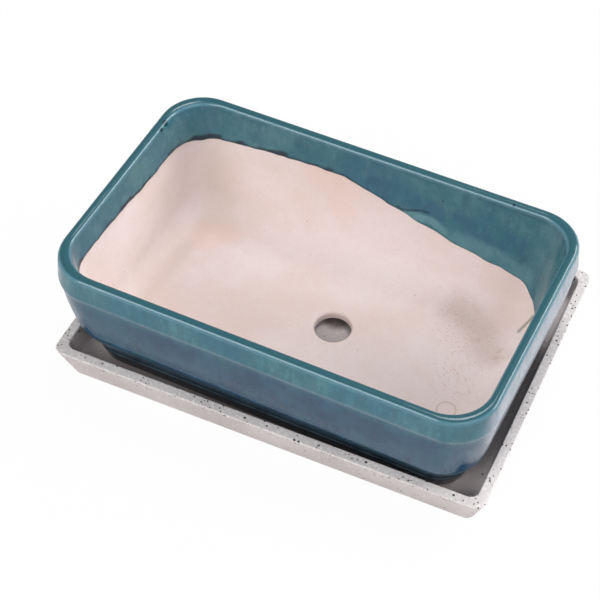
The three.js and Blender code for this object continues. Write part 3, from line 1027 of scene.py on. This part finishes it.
def bisque_finish(piece):
    """Matt pinkish clay with faint stains, specks and sandy grain."""
    finish = Finish("bisque_clay")
    cloud = finish.noise(30 * MM, detail=5, roughness=0.6)
    grain = finish.noise(0.6 * MM, detail=3)
    sand = finish.band(grain, 0.54, 0.70)
    mottle = finish.band(finish.noise(5 * MM, detail=5, shift=(2, 7, 1), roughness=0.65), 0.48, 0.66)
    inside = finish.band(finish.axis("Z") - POT_PLACE.translation.z, 4 * MM, 6 * MM)
    grey = finish.line(GREY_STAIN, 1 * MM, 15 * MM) * (0.45 + cloud * 0.7) * inside
    ring_place = on_pot(*RING_MARK)
    disc = finish.near(ring_place, RING_RADIUS, 0.5 * MM)
    ring = (disc - finish.near(ring_place, RING_RADIUS - RING_LINE, 0.5 * MM)).clamped()
    dust = finish.specks(1.3 * MM, 0.42, 0.45) * finish.line(RED_DUST, 3 * MM, 16 * MM) * inside
    dots = finish.specks(8 * MM, 0.055, 0.55)
    colour = finish.layered(
        finish.mix(WARM_CLAY, PALE_CLAY, finish.band(cloud, 0.35, 0.62)),
        (BUFF_CLAY, mottle * 0.22),
        (GREY_BROWN, (grey * (0.5 + mottle * 0.3 + sand * 0.3)).clamped()),
        # Painted shade along the fold at the wall's foot.
        (FOLD_SHADE_COLOUR, finish.line(FOLD_SHADE, 0.5 * MM, 7 * MM) * 0.55),
        # Painted shade in the back left corner.
        (CORNER_SHADE_COLOUR, finish.line(CORNER_SHADE, 2 * MM, 14 * MM) * 0.45),
        (ROSE, finish.marks(ROSY_STAINS, 12 * MM) * 0.4),
        (SAND, sand * 0.20),
        (RING_BROWN, ring * inside * finish.band(cloud, 0.3, 0.5) * 0.6),
        (SPLASH_GREY, finish.line(GLAZE_SPLASH, 0.3 * MM, 1.3 * MM) * 0.85),
        (BRICK_RED, dust * 0.8),
        (IRON_SPOT, dots * 0.9),
    )
    finish.bump(grain + finish.noise(8 * MM) * 2 - dots, 0.12 * MM)
    finish.coat(piece, Base_Color=colour, Roughness=0.85, Specular_IOR_Level=0.25)


def stone_grit(finish, height):
    """1 on the stone's dark grit, which crowds in patches towards the tray's top edges."""
    crowd = finish.band(height, TRAY_HEIGHT - 11 * MM, TRAY_HEIGHT - 0.5 * MM)
    crowd = crowd * finish.band(finish.noise(10 * MM, shift=(4, 4, 4)), 0.36, 0.56)
    fine = finish.specks(1.5 * MM, 0.42, 0.970 - crowd * 0.27)
    coarse = finish.specks(2.6 * MM, 0.34, 0.965 - crowd * 0.36)
    under_arris = finish.stripe(
        height, TRAY_HEIGHT - 4 * MM, TRAY_HEIGHT - 1.5 * MM,
        TRAY_HEIGHT - 0.4 * MM, TRAY_HEIGHT - 0.1 * MM,
    )
    return (fine + coarse + under_arris * finish.specks(1.2 * MM, 0.46, 0.72)).clamped()


def stone_finish(piece):
    """Pale cast stone with dark grit, with painted light and painted glints along its top edges, and
    painted shade and shadow under the pot.
    """
    finish = Finish("speckled_stone")
    height = finish.axis("Z")
    cloud = finish.noise(25 * MM, detail=4)
    grain = finish.noise(0.9 * MM, detail=4)
    grit = stone_grit(finish, height)
    # Painted light along the top edges, with painted glints on the grain there.
    painted_light_near_top = finish.band(height, TRAY_HEIGHT - 3 * MM, TRAY_HEIGHT - 0.3 * MM)
    painted_glint = finish.band(grain, 0.52, 0.62) * painted_light_near_top
    # Painted shade on the tray's floor under the pot.
    painted_shade_under_pot = finish.near(tuple(POT_PLACE @ DRAIN_PLACE), 9 * MM, 16 * MM)
    # Painted shadow on the tray's floor, seen through the drain hole.
    painted_hole_shadow = finish.near(on_pot(*HOLE_SHADOW_PLACE), 5 * MM, 6 * MM)
    colour = finish.layered(
        finish.mix(STONE, PALE_STONE, finish.band(cloud, 0.35, 0.65)),
        (WHITE_GRAIN, finish.band(grain, 0.58, 0.72) * 0.7),
        # Painted light and painted glints on the top edges.
        (LIT_TOP_EDGE, painted_light_near_top * 0.33 + painted_glint * 0.38),
        # Painted shade under the pot.
        (SHADED_STONE, painted_shade_under_pot * finish.band(cloud, 0.2, 0.6) * 0.8),
        # Painted shadow seen through the drain hole.
        (HOLE_SHADOW_STONE, painted_hole_shadow * 0.9),
        (BLACK_GRIT, grit * 0.95),
    )
    finish.bump(grain * 0.6 - grit, 0.3 * MM)
    finish.coat(piece, Base_Color=colour, Roughness=0.8, Specular_IOR_Level=0.3)


# The studio

def direction(azimuth, elevation):
    """From the pot towards a place: azimuth 0 is in front, and grows to the right."""
    flat = math.cos(elevation)
    return Vector((math.sin(azimuth) * flat, -math.cos(azimuth) * flat, math.sin(elevation)))


def make_camera():
    """The camera, at the photograph's angle and in its frame."""
    data = bpy.data.cameras.new("camera")
    data.sensor_width = CAMERA_SENSOR
    data.lens = CAMERA_LENS
    data.clip_start = CAMERA_CLIP
    camera = bpy.data.objects.new("camera", data)
    bpy.context.scene.collection.objects.link(camera)
    back = direction(CAMERA_AZIMUTH, CAMERA_ELEVATION)
    upright = (-back).to_track_quat("-Z", "Y").to_matrix().to_4x4()
    roll = Matrix.Rotation(CAMERA_ROLL, 4, "Z")
    camera.matrix_world = Matrix.Translation(CAMERA_AIM + back * CAMERA_DISTANCE) @ upright @ roll
    bpy.context.scene.camera = camera


def make_world():
    """A room with evenly lit walls and ceiling, which the camera sees as plain white."""
    world = bpy.data.worlds.new("studio")
    world.use_nodes = True
    bpy.context.scene.world = world
    studio = Nodes(world.node_tree)
    upwards = studio.node("ShaderNodeTexCoord", {}, {}).outputs["Generated"]
    height = studio.node("ShaderNodeSeparateXYZ", {}, {"Vector": upwards}).outputs["Z"]
    walls = 1 - studio.band(height, WALL_END, CEILING_START)
    room = studio.tree.nodes["Background"]
    studio.join(WHITE, room.inputs["Color"])
    studio.join(walls * (WALL_LIGHT - CEILING_LIGHT) + CEILING_LIGHT, room.inputs["Strength"])
    white = studio.node("ShaderNodeBackground", {}, {"Color": WHITE, "Strength": 1})
    studio.show(studio.camera_ray(), room.outputs[0], white.outputs[0], "World Output")


def make_floor():
    """A white floor. The camera sees it nearly as bright as the backdrop."""
    bpy.ops.mesh.primitive_plane_add(size=FLOOR_SIZE, location=(0, 0, -FLOOR_DROP))
    floor = bpy.context.object
    floor.name = "studio_floor"
    finish = Finish("studio_floor")
    white = finish.node("ShaderNodeEmission", {}, {"Color": WHITE, "Strength": 1})
    share = finish.camera_ray() * FLOOR_WHITE
    finish.show(share, finish.shader.outputs[0], white.outputs[0], "Material Output")
    finish.coat(floor, Base_Color=FLOOR_GREY, Roughness=0.9, Specular_IOR_Level=0.1)


def make_lamp(name, azimuth, elevation, width, height, brightness):
    """A flat soft box that faces the pot, with the power that makes its face so bright."""
    data = bpy.data.lights.new(name, "AREA")
    data.shape = "RECTANGLE"
    data.size = width
    data.size_y = height
    data.energy = brightness * math.pi * width * height
    lamp = bpy.data.objects.new(name, data)
    bpy.context.scene.collection.objects.link(lamp)
    towards = direction(math.radians(azimuth), math.radians(elevation))
    lamp.location = towards * LAMP_DISTANCE
    lamp.rotation_euler = (-towards).to_track_quat("-Z", "Y").to_euler()


make_camera()
make_world()
make_floor()
for lamp_name, lamp_values in LAMPS.items():
    make_lamp(lamp_name, *lamp_values)
bpy.context.scene.view_settings.view_transform = "Standard"

glaze_finish(make_glaze_coat())
bisque_finish(make_clay_pot())
stone_finish(make_tray())
